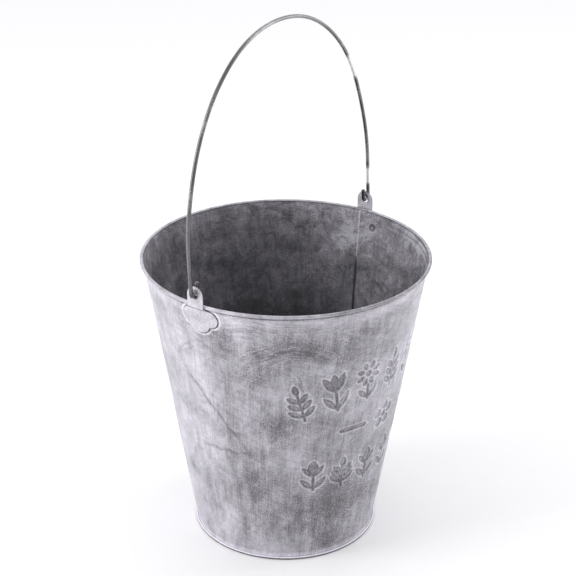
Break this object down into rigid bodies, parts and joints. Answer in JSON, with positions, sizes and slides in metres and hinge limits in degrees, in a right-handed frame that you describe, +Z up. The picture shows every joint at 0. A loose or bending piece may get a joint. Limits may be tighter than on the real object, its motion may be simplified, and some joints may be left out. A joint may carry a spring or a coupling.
{
  "type": "florist bucket",
  "caption": "Round tapered sheet-metal bucket with a wired rim, lapped side seam, folded base seam, two stamped ears and a swinging wire bail.",
  "frame": {"origin": "centre of the base, on the surface that the bucket stands on", "axes": "+Z up along the bucket's axis; the two ears stand on +X and -X; the embossed front faces -Y"},
  "size_m": [0.2758, 0.26, 0.4824],
  "materials": {
    "washed_zinc": "matt whitewashed galvanised sheet, wiped back and scuffed; dark grey and unwashed inside",
    "washed_ear": "matt whitewashed galvanised plate",
    "core_wire": "plain steel wire, hidden in the rim",
    "bail_wire": "greyed steel wire, semi-gloss with dark patches"
  },
  "bodies": {
    "bucket": {"wall": "washed_zinc", "rim_wire": "core_wire", "base_pan": "washed_zinc", "left_ear": "washed_ear", "right_ear": "washed_ear"},
    "bail": {"bail": "bail_wire"}
  },
  "joints": [
    {"name": "bail_swing", "type": "hinge", "parent": "bucket", "child": "bail", "pos_m": [0, 0, 0.2775], "axis": [1, 0, 0], "range_deg": [-127.76, 132.24]}
  ]
}
